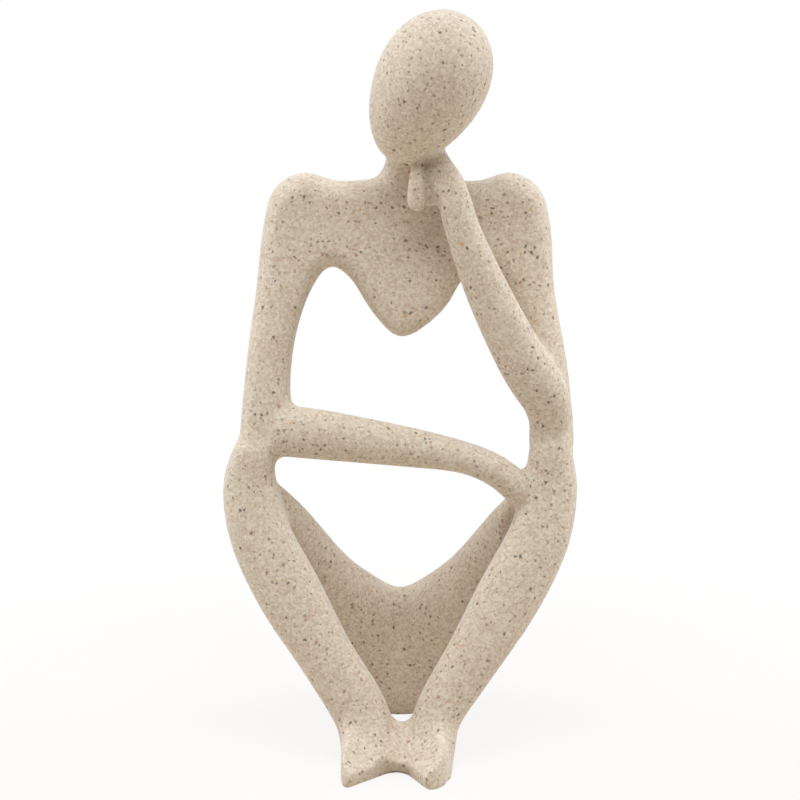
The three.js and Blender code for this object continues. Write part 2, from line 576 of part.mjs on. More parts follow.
const figure = new THREE.Group();
for (const [name, solid] of Object.entries(castings)) {
  const mesh = new THREE.Mesh(geometryOf(solid), resin);
  mesh.name = name;
  figure.add(mesh);
}
for (const { name, centre, along } of dowels) {
  const radius = DOWEL_DIAMETER / 2;
  const mesh = new THREE.Mesh(new THREE.CylinderGeometry(radius, radius, DOWEL_LENGTH, DOWEL_SIDES), steel);
  mesh.name = name;
  mesh.position.copy(centre);
  mesh.quaternion.copy(dowelTurn(along));
  figure.add(mesh);
}

// The origin goes under the middle of the whole figure.
const extent = new THREE.Box3().setFromObject(figure, true);
const middle = extent.getCenter(new THREE.Vector3());
figure.position.set(-middle.x, -middle.y, -extent.min.z);

const part = new THREE.Group();
part.add(figure);

export default part;
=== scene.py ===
"""Resting figurine of sand-filled resin: its bonded castings, their dowels and a plain stage.

The file is laid out as an add-on and is run as a script. Metres, +Z up; the figure faces -Y.
The castings' forms are taken from the frame, blended into one skin and parted again at their bonds.
"""

import math

import bpy
import numpy as np
import openvdb
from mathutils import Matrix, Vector


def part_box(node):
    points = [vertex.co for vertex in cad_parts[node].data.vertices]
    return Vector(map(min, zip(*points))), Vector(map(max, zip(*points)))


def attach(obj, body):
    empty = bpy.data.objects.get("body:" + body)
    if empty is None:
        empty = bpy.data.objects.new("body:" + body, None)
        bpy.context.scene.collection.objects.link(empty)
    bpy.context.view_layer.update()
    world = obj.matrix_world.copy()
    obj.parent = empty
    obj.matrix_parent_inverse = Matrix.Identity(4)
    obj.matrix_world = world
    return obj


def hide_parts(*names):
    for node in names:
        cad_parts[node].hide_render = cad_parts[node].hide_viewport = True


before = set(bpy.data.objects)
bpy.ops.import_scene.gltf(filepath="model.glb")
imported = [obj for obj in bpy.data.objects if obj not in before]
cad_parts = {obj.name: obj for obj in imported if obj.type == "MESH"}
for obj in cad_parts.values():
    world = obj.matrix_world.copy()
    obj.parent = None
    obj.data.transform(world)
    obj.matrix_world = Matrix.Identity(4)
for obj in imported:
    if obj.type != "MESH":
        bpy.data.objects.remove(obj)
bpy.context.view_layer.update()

bl_info = {
    "name": "Resting Figurine",
    "version": (1, 0, 0),
    "blender": (4, 5, 0),
    "location": "View3D > Sidebar > Figurine",
    "description": "Builds a resting figurine of sand-filled resin round its packed frame",
    "category": "Object",
}

MM = 0.001
BODY = "root"
DOWELS = sorted(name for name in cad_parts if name.endswith("_dowel"))
CASTINGS = sorted(set(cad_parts) - set(DOWELS))

# Each softbox: where it stands in metres, its width and the setting with its power
SOFTBOXES = {
    "top_softbox": ((0, -1.0, 2.35), 2.0, "top_lamp"),
    "right_softbox": ((-0.5, 0.1, 0.35), 0.5, "side_lamp"),
    "left_softbox": ((0.5, 0.1, 0.35), 0.5, "side_lamp"),
    "back_softbox": ((0, 0.5, 0.5), 0.5, "back_lamp"),
}


def linear(code):
    """An sRGB colour code such as "cdbfa6" as linear red, green and blue."""
    shares = [int(code[i : i + 2], 16) / 255 for i in (0, 2, 4)]
    return tuple(s / 12.92 if s <= 0.04045 else ((s + 0.055) / 1.055) ** 2.4 for s in shares)


def length(name, description, millimetres):
    """A setting in metres, given here in millimetres."""
    return bpy.props.FloatProperty(
        name=name, description=description, default=millimetres * MM, min=0, precision=5, unit="LENGTH"
    )


def colour(name, description, code):
    """A setting that holds a colour, given here as its sRGB code."""
    return bpy.props.FloatVectorProperty(
        name=name, description=description, default=linear(code), size=3, min=0, max=1, subtype="COLOR"
    )


def share(name, description, default):
    """A setting between 0 and 1."""
    return bpy.props.FloatProperty(
        name=name, description=description, default=default, min=0, max=1, subtype="FACTOR"
    )


def strength(name, description, default):
    """A setting without a unit or in watts, as its description says."""
    return bpy.props.FloatProperty(name=name, description=description, default=default, min=0)


class FigurineForm(bpy.types.PropertyGroup):
    """How the castings' skin is blended."""

    cell: length("Cell", "Edge of the faces in the finished skin", 0.35)
    reach: length("Reach", "How far from the skin distances are worked out", 4.6)
    bond_fill: length("Bond fill", "Half of the widest gap that adhesive fills at a bond", 0.3)
    fillet: length("Fillet", "Radius of the inner corners at the elbows", 1.4)
    fillet_span: length("Fillet span", "How far from a dowel's middle inner corners are filled", 7)
    elbow_fillet: length("Elbow fillet", "Radius between an arm and the knee it rests on", 2.5)
    elbow_cover: length("Elbow cover", "Resin left round an elbow dowel, its room included", 0.8)
    knee_fillet: length("Knee fillet", "Radius inside the right knee", 4.2)
    bend_ease: length("Bend ease", "How wide the raised forearm flows into its elbow", 3.2)
    bend_span: length("Bend span", "How far from the inside of the bend it flows", 5)
    bend_inward: length("Bend inward", "From the elbow's middle to the inside of its bend", 3)
    web_fillet: length("Web fillet", "Radius of the web between the ankles", 2.1)
    web_span: length("Web span", "How far from the foot dowel the web reaches", 12)
    valley_fillet: length("Valley fillet", "Radius of the valley between the insteps", 3.5)
    valley_span: length("Valley span", "How far from its middle the valley reaches", 3)
    valley_forward: length("Valley forward", "From the foot dowel to the valley's middle", 4)
    softness: length("Softness", "How far edges and creases are rounded", 0.65)
    fine_softness: length("Fine softness", "The same for the toes and the raised hand", 0.32)
    toe_height: length("Toe height", "Height up to which the feet are crisp", 4)
    hand_span: length("Hand span", "How far from the hand's middle it is crisp", 6)
    hand_fade: length("Hand fade", "Distance over which that crispness ends", 3)
    socket_room: length("Socket room", "Room round a dowel in its sockets", 0.2)
    dowel_diameter: length("Dowel diameter", "Drawn wire that pins a bond", 1.6)
    dowel_length: length("Dowel length", "Overall, with both chamfers", 8)
    dowel_chamfer: length("Dowel chamfer", "At each end, at 45 degrees", 0.2)


class FigurineFinish(bpy.types.PropertyGroup):
    """Colours and grain of the two materials."""

    binder: colour("Binder", "Fine sand and resin between the grains", "d1c1aa")
    pale_sand: colour("Pale sand", "Lighter patches of the fine sand", "ddd0ba")
    warm_sand: colour("Warm sand", "Pinkish patches of the fine sand", "c8b19b")
    black_grain: colour("Black grain", "Darkest grains", "604f3f")
    grey_grain: colour("Grey grain", "Grey-brown grains", "8f826b")
    rust_grain: colour("Rust grain", "Red-brown grains", "aa806a")
    ochre_grain: colour("Ochre grain", "Orange-brown grains", "c79f72")
    cream_grain: colour("Cream grain", "Lightest grains", "ece4d2")
    coarse_pitch: length("Coarse pitch", "Distance between coarse grains", 0.95)
    coarse_grain: length("Coarse grain", "Radius of the largest coarse grain", 0.32)
    fine_pitch: length("Fine pitch", "Distance between fine grains", 0.5)
    fine_grain: length("Fine grain", "Radius of the largest fine grain", 0.2)
    coarse_share: share("Coarse share", "How many places hold a coarse grain", 0.6)
    fine_share: share("Fine share", "How many places hold a fine grain", 0.75)
    coarse_cover: share("Coarse cover", "How much of a coarse grain shows through the resin", 0.85)
    fine_cover: share("Fine cover", "How much of a fine grain shows through the resin", 0.42)
    smallest_grain: share("Smallest grain", "Radius of the smallest grain in that of the largest", 0.45)
    grain_edge: share("Grain edge", "Half of the width of a grain's soft edge in its largest radius", 0.3)
    sand_pitch: length("Sand pitch", "Size of the patches of fine sand", 0.42)
    wander_pitch: length("Wander pitch", "Distance over which the grains' outlines wander", 0.5)
    wander: length("Wander", "How far they wander, from one side to the other", 0.7)
    grit: length("Grit", "Size of the roughness that shows as bump", 0.3)
    grit_depth: length("Grit depth", "Depth of that roughness", 0.12)
    grit_share: share("Grit share", "How much of that depth the light shows", 0.25)
    grain_relief: share("Grain relief", "How far coarse grains stand out of the grit", 0.35)
    skin_roughness: share("Skin roughness", "Roughness of the resin between the coarse grains", 0.86)
    grain_roughness: share("Grain roughness", "Roughness of the coarse grains", 0.6)
    sheen: share("Sheen", "Fine dust that pales the skin where it turns away", 0.3)
    steel: colour("Steel", "Drawn dowel wire", "b4b6b8")
    bloom_pitch: length("Bloom pitch", "Size of the dull patches on the wire", 0.4)
    bright_steel: share("Bright steel", "Least roughness of the wire", 0.25)
    dull_steel: share("Dull steel", "Greatest roughness of the wire", 0.45)


class FigurineStage(bpy.types.PropertyGroup):
    """Camera, lamps and floor."""

    camera_back: length("Camera distance", "From the figure's middle plane, towards -Y", 430)
    camera_height: length("Camera height", "Above the floor", 140)
    camera_pitch: bpy.props.FloatProperty(
        name="Camera pitch",
        description="How far the camera looks down",
        default=math.radians(10.2925),
        subtype="ANGLE",
    )
    lens: bpy.props.FloatProperty(
        name="Lens", description="Focal length in millimetres on a 36 mm sensor", default=111.67
    )
    floor: colour("Floor", "Pale paper", "dbd1c5")
    floor_width: length("Floor width", "Edge of the square floor", 8000)
    floor_glow: share("Floor glow", "Share of the floor's white that no shadow takes away", 0.85)
    shadow_reach: length("Shadow reach", "Distance beyond which the floor is plain white", 150)
    ambient: strength("Ambient", "Light from all round", 0.03)
    ambient_tint: colour("Ambient tint", "Warm walls of the room", "ffe6cf")
    lamp_tint: colour("Lamp tint", "Daylight of the softboxes", "f2f8ff")
    top_lamp: strength("Top lamp", "Softbox overhead, in front of the figure, in watts", 68)
    side_lamp: strength("Side lamps", "Softbox at either side, a little behind, in watts", 2.4)
    back_lamp: strength("Back lamp", "Softbox behind the figure, in watts", 0.6)


# Shapes: distance fields on one grid of cells, negative inside

SNAP_ROUNDS = 6  # times that points are moved towards the surfaces that they belong to
LEAST_STEEPNESS = 0.1  # squared slope below which such a move is held back


def figure_box():
    """The lowest and highest corners of the frame's nodes."""
    boxes = np.array([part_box(name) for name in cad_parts])
    return boxes[:, 0].min(axis=0), boxes[:, 1].max(axis=0)


class Grid:
    """A box of cells round the figure, with the floor on one of its planes."""

    def __init__(self, cell, margin):
        bottom, top = figure_box()
        low = np.floor(bottom / cell).astype(int) - margin
        high = np.ceil(top / cell).astype(int) + margin
        self.cell = cell
        self.low = low
        self.size = tuple(high - low + 1)
        self.floor_row = -low[2]

    def distances(self, points, reach, **faces):
        """Distances to a closed surface, clamped at the reach."""
        steps = openvdb.createLinearTransform(voxelSize=self.cell)
        surface = openvdb.FloatGrid.createLevelSetFromPolygons(
            points, transform=steps, halfWidth=reach / self.cell, **faces
        )
        field = np.zeros(self.size, np.float32)
        surface.copyToArray(field, ijk=tuple(int(i) for i in self.low))
        return field

    def surface(self, field, level=0.0):
        """Points and four-sided faces where the field has this level."""
        volume = openvdb.FloatGrid(float(field.max()))
        volume.transform = openvdb.createLinearTransform(voxelSize=self.cell)
        volume.copyFromArray(field, ijk=tuple(int(i) for i in self.low))
        return volume.convertToQuads(isovalue=level)

    def heights(self):
        """The height of each row of cells above the floor."""
        return (np.arange(self.size[2]) - self.floor_row) * self.cell

    def beyond(self, middle, span):
        """Half of the distance of each cell from a ball, and zero inside it."""
        rows = [(np.arange(n) + low) * self.cell - m for n, low, m in zip(self.size, self.low, middle)]
        squares = [np.float32(row**2) for row in rows]
        away = np.sqrt(squares[0][:, None, None] + squares[1][:, None] + squares[2])
        return np.maximum(away - np.float32(span), 0) / 2

    def sample(self, field, points):
        """The field at any points, by linear interpolation."""
        at = points / self.cell - self.low
        base = np.clip(np.floor(at).astype(int), 0, np.array(self.size) - 2)
        part = at - base
        value = np.zeros(len(points))
        for corner in np.ndindex(2, 2, 2):
            weight = np.prod(np.where(corner, part, 1 - part), axis=1)
            value += weight * field[tuple((base + corner).T)]
        return value

    def slope(self, field, points):
        """The field's gradient at any points."""
        step = 0.5 * self.cell
        parts = []
        for axis in np.eye(3):
            ahead = self.sample(field, points + step * axis)
            behind = self.sample(field, points - step * axis)
            parts.append((ahead - behind) / (2 * step))
        return np.stack(parts, axis=1)


def node_field(grid, name, reach):
    """Distances to a node of the frame."""
    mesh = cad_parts[name].data
    points = np.zeros(len(mesh.vertices) * 3, np.float32)
    mesh.vertices.foreach_get("co", points)
    mesh.calc_loop_triangles()
    triangles = np.zeros(len(mesh.loop_triangles) * 3, np.int32)
    mesh.loop_triangles.foreach_get("vertices", triangles)
    return grid.distances(points.reshape(-1, 3), reach, triangles=triangles.reshape(-1, 3).astype(np.uint32))


def blurred(field, spread):
    """The field averaged with Gaussian weights, with the spread in cells."""
    far = math.ceil(3 * spread)
    weights = np.exp(-0.5 * (np.arange(-far, far + 1) / spread) ** 2)
    weights /= weights.sum()
    for axis in range(3):
        rows = field.shape[axis]
        padding = [(far, far) if a == axis else (0, 0) for a in range(3)]
        padded = np.pad(field, padding, mode="edge")
        field = sum(
            np.float32(w) * padded[tuple(slice(i, i + rows) if a == axis else slice(None) for a in range(3))]
            for i, w in enumerate(weights)
        )
    return field


def filled(grid, fields, radius, reach):
    """One field of all the fields, with gaps and inner corners that are tighter than the radius filled."""
    points, quads = grid.surface(np.minimum.reduce(fields), radius)
    return grid.distances(points, reach, quads=quads) + np.float32(radius)


def flowing(one, other, width):
    """One field of two, whose surfaces flow into each other within the width."""
    near = np.maximum(np.float32(width) - np.abs(one - other), 0)
    return np.minimum(one, other) - near**2 / np.float32(4 * width)


def middle_of(name):
    """The middle of a node's box."""
    low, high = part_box(name)
    return (low + high) / 2


def blended_skin(grid, fields, pins, form):
    """One field for the whole figure: bonds and inner corners are filled, and edges rounded."""
    spot = {name: middle_of(name) for name in DOWELS}
    right_elbow = spot["right_elbow_dowel"]
    left_elbow = spot["left_elbow_dowel"]
    instep = spot["foot_dowel"] - Vector((0, form.valley_forward, 0))
    raised_elbow = (spot["raised_elbow_dowel"] + left_elbow) / 2
    bend = raised_elbow - Vector((form.bend_inward, 0, 0))

    cover = np.float32(form.elbow_cover)
    right_cover = node_field(grid, "right_elbow_dowel", form.reach) - cover
    left_cover = node_field(grid, "left_elbow_dowel", form.reach) - cover
    every = [*fields.values(), pins, right_cover, left_cover]
    right_arm = [fields["torso"], fields["right_lower_leg"], right_cover]
    left_arm = [fields["torso"], fields["left_lower_leg"], left_cover]
    right_leg = [fields["right_lower_leg"], fields["seat_and_thighs"]]
    feet = [fields["right_lower_leg"], fields["left_lower_leg"]]
    corners = [
        (every, form.fillet, form.fillet_span, [right_elbow, left_elbow, spot["resting_elbow_dowel"]]),
        (right_arm, form.elbow_fillet, form.fillet_span, [right_elbow]),
        (left_arm, form.elbow_fillet, form.fillet_span, [left_elbow]),
        (right_leg, form.knee_fillet, form.fillet_span, [spot["right_knee_dowel"]]),
        (feet, form.web_fillet, form.web_span, [spot["foot_dowel"]]),
        (feet, form.valley_fillet, form.valley_span, [instep]),
    ]
    whole = filled(grid, every, form.bond_fill, form.reach)
    for solids, radius, span, places in corners:
        rounded = filled(grid, solids, radius, form.reach)
        for place in places:
            whole = np.minimum(whole, rounded + grid.beyond(place, span))
    raised_arm = flowing(fields["torso"], fields["raised_forearm"], form.bend_ease)
    whole = np.minimum(whole, raised_arm + grid.beyond(bend, form.bend_span))

    below = grid.floor_row
    whole[:, :, :below] = whole[:, :, 2 * below : below : -1]  # so that the soles' rims stay sharp
    soft = blurred(whole, form.softness / grid.cell)
    crisp = blurred(whole, form.fine_softness / grid.cell)
    above_toes = np.clip(grid.heights() / form.toe_height - 1, 0, 1).astype(np.float32)
    hand_low, hand_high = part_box("raised_forearm")
    hand = (hand_low.x + form.hand_span, hand_low.y + form.hand_span, hand_high.z - form.hand_span)
    off_hand = np.clip(grid.beyond(hand, form.hand_span) / (0.5 * np.float32(form.hand_fade)), 0, 1)
    return crisp + np.minimum(above_toes, off_hand) * (soft - crisp)


def snapped(grid, limits, points, quads):
    """Points moved onto the surfaces that meet there, and for each face the number of its surface."""
    middles = points[quads].mean(axis=1)
    kind = np.argmax([grid.sample(limit, middles) for limit in limits], axis=0)
    for _ in range(SNAP_ROUNDS):
        for number, limit in enumerate(limits):
            mine = np.unique(quads[kind == number])
            value = grid.sample(limit, points[mine])
            slope = grid.slope(limit, points[mine])
            steep = np.maximum((slope**2).sum(axis=1), LEAST_STEEPNESS)
            move = np.clip(value / steep, -grid.cell, grid.cell)
            points[mine] -= move[:, None] * slope
    return points, kind


def largest_part(points, quads):
    """The largest connected part of a surface, without the specks that the cells leave at a bond's rim."""
    label = np.arange(len(points))
    settled = False
    while not settled:
        lower = label.copy()
        np.minimum.at(lower, quads, label[quads].min(axis=1)[:, None])
        lower = lower[lower]
        settled = np.array_equal(lower, label)
        label = lower
    part = label[quads[:, 0]]
    used, kept = np.unique(quads[part == np.bincount(part).argmax()], return_inverse=True)
    return points[used], kept.reshape(-1, 4)


def skin_mesh(grid, name, limits):
    """A closed mesh of what lies inside all the limits. The first limit is the smooth skin."""
    points, quads = grid.surface(np.maximum.reduce(limits))
    points, quads = largest_part(points.astype(float), quads.astype(int))
    points, kind = snapped(grid, limits, points, quads)
    mesh = bpy.data.meshes.new(name)
    mesh.from_pydata(points, [], quads.tolist())
    slope = grid.slope(limits[0], points)
    slope /= np.linalg.norm(slope, axis=1)[:, None]
    flat = np.array([face.normal for face in mesh.polygons])
    normals = np.where((kind == 0)[:, None, None], slope[quads], flat[:, None])
    mesh.normals_split_custom_set(normals.reshape(-1, 3).tolist())
    return mesh


# Node trees


def add_node(tree, kind, inputs=(), **settings):
    """Adds a node with its settings. An input is linked to a socket or set to a value."""
    node = tree.nodes.new(kind)
    for name, value in settings.items():
        setattr(node, name, value)
    for key, value in dict(inputs).items():
        if isinstance(value, bpy.types.NodeSocket):
            tree.links.new(value, node.inputs[key])
        else:
            node.inputs[key].default_value = value
    return node


def white_for_eye(tree):
    """1 where a ray comes from the camera, a mirror or glass, and 0 where it lights a surface."""
    path = add_node(tree, "ShaderNodeLightPath")
    seen = path.outputs["Is Camera Ray"]
    for name in ("Is Glossy Ray", "Is Transmission Ray"):
        seen = add_node(
            tree, "ShaderNodeMath", {0: seen, 1: path.outputs[name]}, operation="MAXIMUM"
        ).outputs[0]
    return seen


# Dowels

PIN_SIDES = 32
SHARP_ANGLE = math.radians(30)  # less than the chamfers' 45 degrees


def dowel_axis(name):
    """The direction in which a dowel of the frame is longest."""
    points = np.array([vertex.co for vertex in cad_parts[name].data.vertices])
    return np.linalg.svd(points - points.mean(axis=0), full_matrices=False)[2][0]


def dowel_tree():
    """Geometry nodes that put a chamfered pin at each point, lying along the point's own direction."""
    tree = bpy.data.node_groups.new("dowel_pins", "GeometryNodeTree")
    tree.interface.new_socket("Geometry", in_out="INPUT", socket_type="NodeSocketGeometry")
    for name in ("Diameter", "Length", "Chamfer"):
        tree.interface.new_socket(name, in_out="INPUT", socket_type="NodeSocketFloat")
    tree.interface.new_socket("Material", in_out="INPUT", socket_type="NodeSocketMaterial")
    tree.interface.new_socket("Geometry", in_out="OUTPUT", socket_type="NodeSocketGeometry")
    given = add_node(tree, "NodeGroupInput").outputs
    radius = add_node(tree, "ShaderNodeMath", {0: given["Diameter"], 1: 0.5}, operation="MULTIPLY")
    half = add_node(tree, "ShaderNodeMath", {0: given["Length"], 1: 0.5}, operation="MULTIPLY")
    end = add_node(tree, "ShaderNodeCombineXYZ", {"Z": half.outputs[0]})
    start = add_node(tree, "ShaderNodeVectorMath", {0: end.outputs[0], "Scale": -1}, operation="SCALE")
    line = add_node(
        tree, "GeometryNodeCurvePrimitiveLine", {"Start": start.outputs[0], "End": end.outputs[0]}
    )
    run = add_node(
        tree,
        "GeometryNodeResampleCurve",
        {"Curve": line.outputs[0], "Length": given["Chamfer"]},
        mode="LENGTH",
    )
    gone = add_node(tree, "GeometryNodeSplineParameter").outputs["Length"]
    left = add_node(tree, "ShaderNodeMath", {0: given["Length"], 1: gone}, operation="SUBTRACT")
    nearer = add_node(tree, "ShaderNodeMath", {0: gone, 1: left.outputs[0]}, operation="MINIMUM")
    tip = add_node(
        tree, "ShaderNodeMath", {0: radius.outputs[0], 1: given["Chamfer"]}, operation="SUBTRACT"
    )
    cone = add_node(tree, "ShaderNodeMath", {0: tip.outputs[0], 1: nearer.outputs[0]}, operation="ADD")
    width = add_node(tree, "ShaderNodeMath", {0: cone.outputs[0], 1: radius.outputs[0]}, operation="MINIMUM")
    round_section = add_node(tree, "GeometryNodeCurvePrimitiveCircle", {"Resolution": PIN_SIDES, "Radius": 1})
    pin = add_node(
        tree,
        "GeometryNodeCurveToMesh",
        {
            "Curve": run.outputs[0],
            "Profile Curve": round_section.outputs[0],
            "Scale": width.outputs[0],
            "Fill Caps": True,
        },
    )
    along = add_node(tree, "GeometryNodeInputNamedAttribute", {"Name": "along"}, data_type="FLOAT_VECTOR")
    turn = add_node(tree, "FunctionNodeAlignRotationToVector", {"Vector": along.outputs[0]}, axis="Z")
    placed = add_node(
        tree,
        "GeometryNodeInstanceOnPoints",
        {"Points": given["Geometry"], "Instance": pin.outputs[0], "Rotation": turn.outputs[0]},
    )
    solid = add_node(tree, "GeometryNodeRealizeInstances", {"Geometry": placed.outputs[0]})
    steel = add_node(
        tree, "GeometryNodeSetMaterial", {"Geometry": solid.outputs[0], "Material": given["Material"]}
    )
    add_node(tree, "NodeGroupOutput", {"Geometry": steel.outputs[0]})
    return tree


def grown(context, seed, tree, values):
    """The plain mesh that a tree makes from an object, with the tree's inputs set by name."""
    modifier = seed.modifiers.new(tree.name, "NODES")
    modifier.node_group = tree
    for item in tree.interface.items_tree:
        if item.in_out == "INPUT" and item.name in values:
            modifier[item.identifier] = values[item.name]
    evaluated = seed.evaluated_get(context.evaluated_depsgraph_get())
    mesh = bpy.data.meshes.new_from_object(evaluated)
    seed.modifiers.remove(modifier)
    return mesh


# Materials


def new_material(name):
    """A material with an empty node tree, and that tree."""
    material = bpy.data.materials.new(name)
    material.use_nodes = True
    tree = material.node_tree
    tree.nodes.clear()
    return material, tree


def opaque(rgb):
    """A colour as nodes take it, with nothing see-through."""
    return (*rgb, 1)


def grain_layer(tree, place, under, finish, kind, colours):
    """Scattered grains over a colour: places on a random lattice, some of them holding a grain.

    The kind is fine or coarse. Returns the new colour and where the grains are.
    """
    pitch = getattr(finish, kind + "_pitch")
    radius = getattr(finish, kind + "_grain")
    present = getattr(finish, kind + "_share")
    cover = getattr(finish, kind + "_cover")
    largest = radius / pitch
    smallest = finish.smallest_grain * largest
    edge = finish.grain_edge * largest
    cells = add_node(tree, "ShaderNodeTexVoronoi", {"Vector": place, "Scale": 1 / pitch, "Randomness": 1})
    random = add_node(tree, "ShaderNodeSeparateColor", {"Color": cells.outputs["Color"]})
    size = add_node(
        tree,
        "ShaderNodeMapRange",
        {"Value": random.outputs["Red"], "To Min": smallest, "To Max": largest},
    )
    depth = add_node(
        tree, "ShaderNodeMath", {0: size.outputs[0], 1: cells.outputs["Distance"]}, operation="SUBTRACT"
    )
    inside = add_node(
        tree,
        "ShaderNodeMapRange",
        {"Value": depth.outputs[0], "From Min": -edge, "From Max": edge},
        interpolation_type="SMOOTHSTEP",
    )
    held = add_node(tree, "ShaderNodeMath", {0: random.outputs["Green"], 1: present}, operation="LESS_THAN")
    shown = add_node(
        tree, "ShaderNodeMath", {0: inside.outputs[0], 1: held.outputs[0]}, operation="MULTIPLY"
    )
    veiled = add_node(tree, "ShaderNodeMath", {0: shown.outputs[0], 1: cover}, operation="MULTIPLY")
    kinds = add_node(tree, "ShaderNodeValToRGB", {"Fac": random.outputs["Blue"]})
    kinds.color_ramp.interpolation = "CONSTANT"
    stops = kinds.color_ramp.elements
    stops.remove(stops[1])
    for start, rgb in colours:
        stop = stops[0] if start == 0 else stops.new(start)
        stop.color = opaque(rgb)
    over = add_node(
        tree,
        "ShaderNodeMix",
        {"Factor": veiled.outputs[0], "A": under, "B": kinds.outputs["Color"]},
        data_type="RGBA",
    )
    return over.outputs["Result"], shown.outputs[0]


def sand_resin(finish):
    """Cast polyester filled with mixed sand, demoulded and left matt.

    The eye sees a pale warm ground, mottled at the size of the fine sand, with darker grains cut at
    random depths, so that their outlines differ in size. The skin has a fine dry grit and no gloss.
    """
    material, tree = new_material("cast_sand_resin")
    place = add_node(tree, "ShaderNodeTexCoord").outputs["Object"]
    wobble = add_node(
        tree, "ShaderNodeTexNoise", {"Vector": place, "Scale": 1 / finish.wander_pitch, "Detail": 1.0}
    )
    noise_middle = (0.5, 0.5, 0.5)
    shift = add_node(
        tree, "ShaderNodeVectorMath", {0: wobble.outputs["Color"], 1: noise_middle}, operation="SUBTRACT"
    )
    moved = add_node(
        tree,
        "ShaderNodeVectorMath",
        {0: shift.outputs[0], 1: (finish.wander,) * 3, 2: place},
        operation="MULTIPLY_ADD",
    ).outputs[0]
    sand = add_node(
        tree, "ShaderNodeTexVoronoi", {"Vector": place, "Scale": 1 / finish.sand_pitch, "Randomness": 1}
    )
    tone = add_node(tree, "ShaderNodeSeparateColor", {"Color": sand.outputs["Color"]})
    ground = add_node(tree, "ShaderNodeValToRGB", {"Fac": tone.outputs["Red"]})
    ground.color_ramp.elements[0].color = opaque(finish.warm_sand)
    ground.color_ramp.elements[1].color = opaque(finish.pale_sand)
    ground.color_ramp.elements.new(0.45).color = opaque(finish.binder)
    fine = [
        (0, finish.grey_grain),
        (0.35, finish.ochre_grain),
        (0.6, finish.cream_grain),
        (0.85, finish.rust_grain),
    ]
    coarse = [
        (0, finish.black_grain),
        (0.3, finish.grey_grain),
        (0.6, finish.rust_grain),
        (0.8, finish.ochre_grain),
    ]
    hue, _ = grain_layer(tree, moved, ground.outputs["Color"], finish, "fine", fine)
    hue, large = grain_layer(tree, moved, hue, finish, "coarse", coarse)
    grit = add_node(
        tree,
        "ShaderNodeTexNoise",
        {"Vector": place, "Scale": 1 / finish.grit, "Detail": 2.0, "Roughness": 0.6},
    )
    relief = add_node(
        tree,
        "ShaderNodeMath",
        {0: large, 1: finish.grain_relief, 2: grit.outputs[0]},
        operation="MULTIPLY_ADD",
    )
    bump = add_node(
        tree,
        "ShaderNodeBump",
        {"Height": relief.outputs[0], "Strength": finish.grit_share, "Distance": finish.grit_depth},
    )
    roughness = add_node(
        tree,
        "ShaderNodeMapRange",
        {"Value": large, "To Min": finish.skin_roughness, "To Max": finish.grain_roughness},
    )
    shader = add_node(
        tree,
        "ShaderNodeBsdfPrincipled",
        {
            "Base Color": hue,
            "Roughness": roughness.outputs[0],
            "Normal": bump.outputs[0],
            "IOR": 1.5,
            "Sheen Weight": finish.sheen,
            "Sheen Roughness": 0.5,
        },
    )
    add_node(tree, "ShaderNodeOutputMaterial", {"Surface": shader.outputs[0]})
    return material


def drawn_steel(finish):
    """Drawn steel wire, cut to length: bright, with a dull bloom in patches."""
    material, tree = new_material("drawn_steel")
    place = add_node(tree, "ShaderNodeTexCoord").outputs["Object"]
    bloom = add_node(
        tree, "ShaderNodeTexNoise", {"Vector": place, "Scale": 1 / finish.bloom_pitch, "Detail": 3.0}
    )
    roughness = add_node(
        tree,
        "ShaderNodeMapRange",
        {"Value": bloom.outputs[0], "To Min": finish.bright_steel, "To Max": finish.dull_steel},
    )
    shader = add_node(
        tree,
        "ShaderNodeBsdfPrincipled",
        {"Base Color": opaque(finish.steel), "Metallic": 1.0, "Roughness": roughness.outputs[0]},
    )
    add_node(tree, "ShaderNodeOutputMaterial", {"Surface": shader.outputs[0]})
    return material


# Operators


class FIGURINE_OT_castings(bpy.types.Operator):
    """Make the seven castings from the frame, with one smooth skin and sockets for the dowels"""

    bl_idname = "figurine.castings"
    bl_label = "Castings"

    def execute(self, context):
        form = context.scene.figurine_form
        grid = Grid(form.cell, math.ceil(form.reach / form.cell))
        fields = {name: node_field(grid, name, form.reach) for name in CASTINGS}
        pins = np.minimum.reduce([node_field(grid, name, form.reach) for name in DOWELS])
        whole = blended_skin(grid, fields, pins, form)
        sockets = np.float32(form.socket_room) - pins
        floor = np.broadcast_to(-grid.heights().astype(np.float32), grid.size)
        resin = sand_resin(context.scene.figurine_finish)
        for name, own in fields.items():
            others = np.minimum.reduce([field for field in fields.values() if field is not own])
            bond = (own - others) / 2
            mesh = skin_mesh(grid, "cast_" + name, [whole, bond, floor, sockets])
            mesh.materials.append(resin)
            piece = bpy.data.objects.new("cast_" + name, mesh)
            context.scene.collection.objects.link(piece)
            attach(piece, BODY)
            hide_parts(name)
        return {"FINISHED"}


